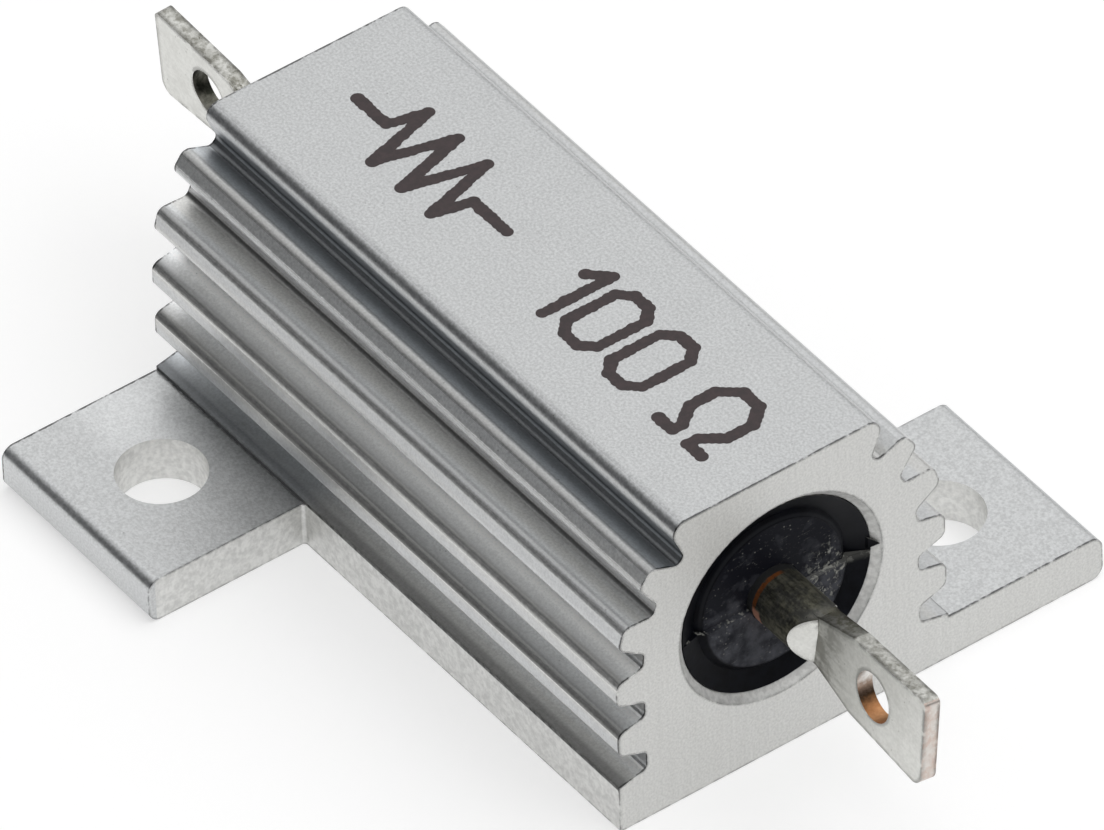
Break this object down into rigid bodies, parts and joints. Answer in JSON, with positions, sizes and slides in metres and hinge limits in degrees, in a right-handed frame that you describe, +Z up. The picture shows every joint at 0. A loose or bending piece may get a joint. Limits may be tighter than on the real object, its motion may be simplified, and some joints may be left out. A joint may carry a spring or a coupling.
{
  "type": "power resistor",
  "caption": "Wire-wound power resistor moulded into a finned aluminium housing, with diagonal screw feet to bolt it to a heat sink and a flat solder lug at each end.",
  "frame": {"origin": "middle of the base, on the face that is screwed to the heat sink", "axes": "+X along the bore towards the front terminal, +Y across towards the front foot, +Z up from the base"},
  "size_m": [0.0448, 0.0272, 0.0126],
  "materials": {
    "anodised_aluminium": "satin silver anodised extrusion with sawn ends and milled feet",
    "black_compound": "moulded, half gloss, scuffed",
    "ceramic": "fired, matt",
    "resistance_wire": "drawn wire",
    "plated_steel": "plated pressing",
    "tinned_copper": "tin plating on copper, tarnished, copper showing at cut edges"
  },
  "bodies": {
    "root": {"housing": "anodised_aluminium", "moulding": "black_compound", "ceramic_core": "ceramic", "resistance_winding": "resistance_wire", "front_end_cap": "plated_steel", "rear_end_cap": "plated_steel", "front_terminal": "tinned_copper", "rear_terminal": "tinned_copper"}
  },
  "joints": []
}
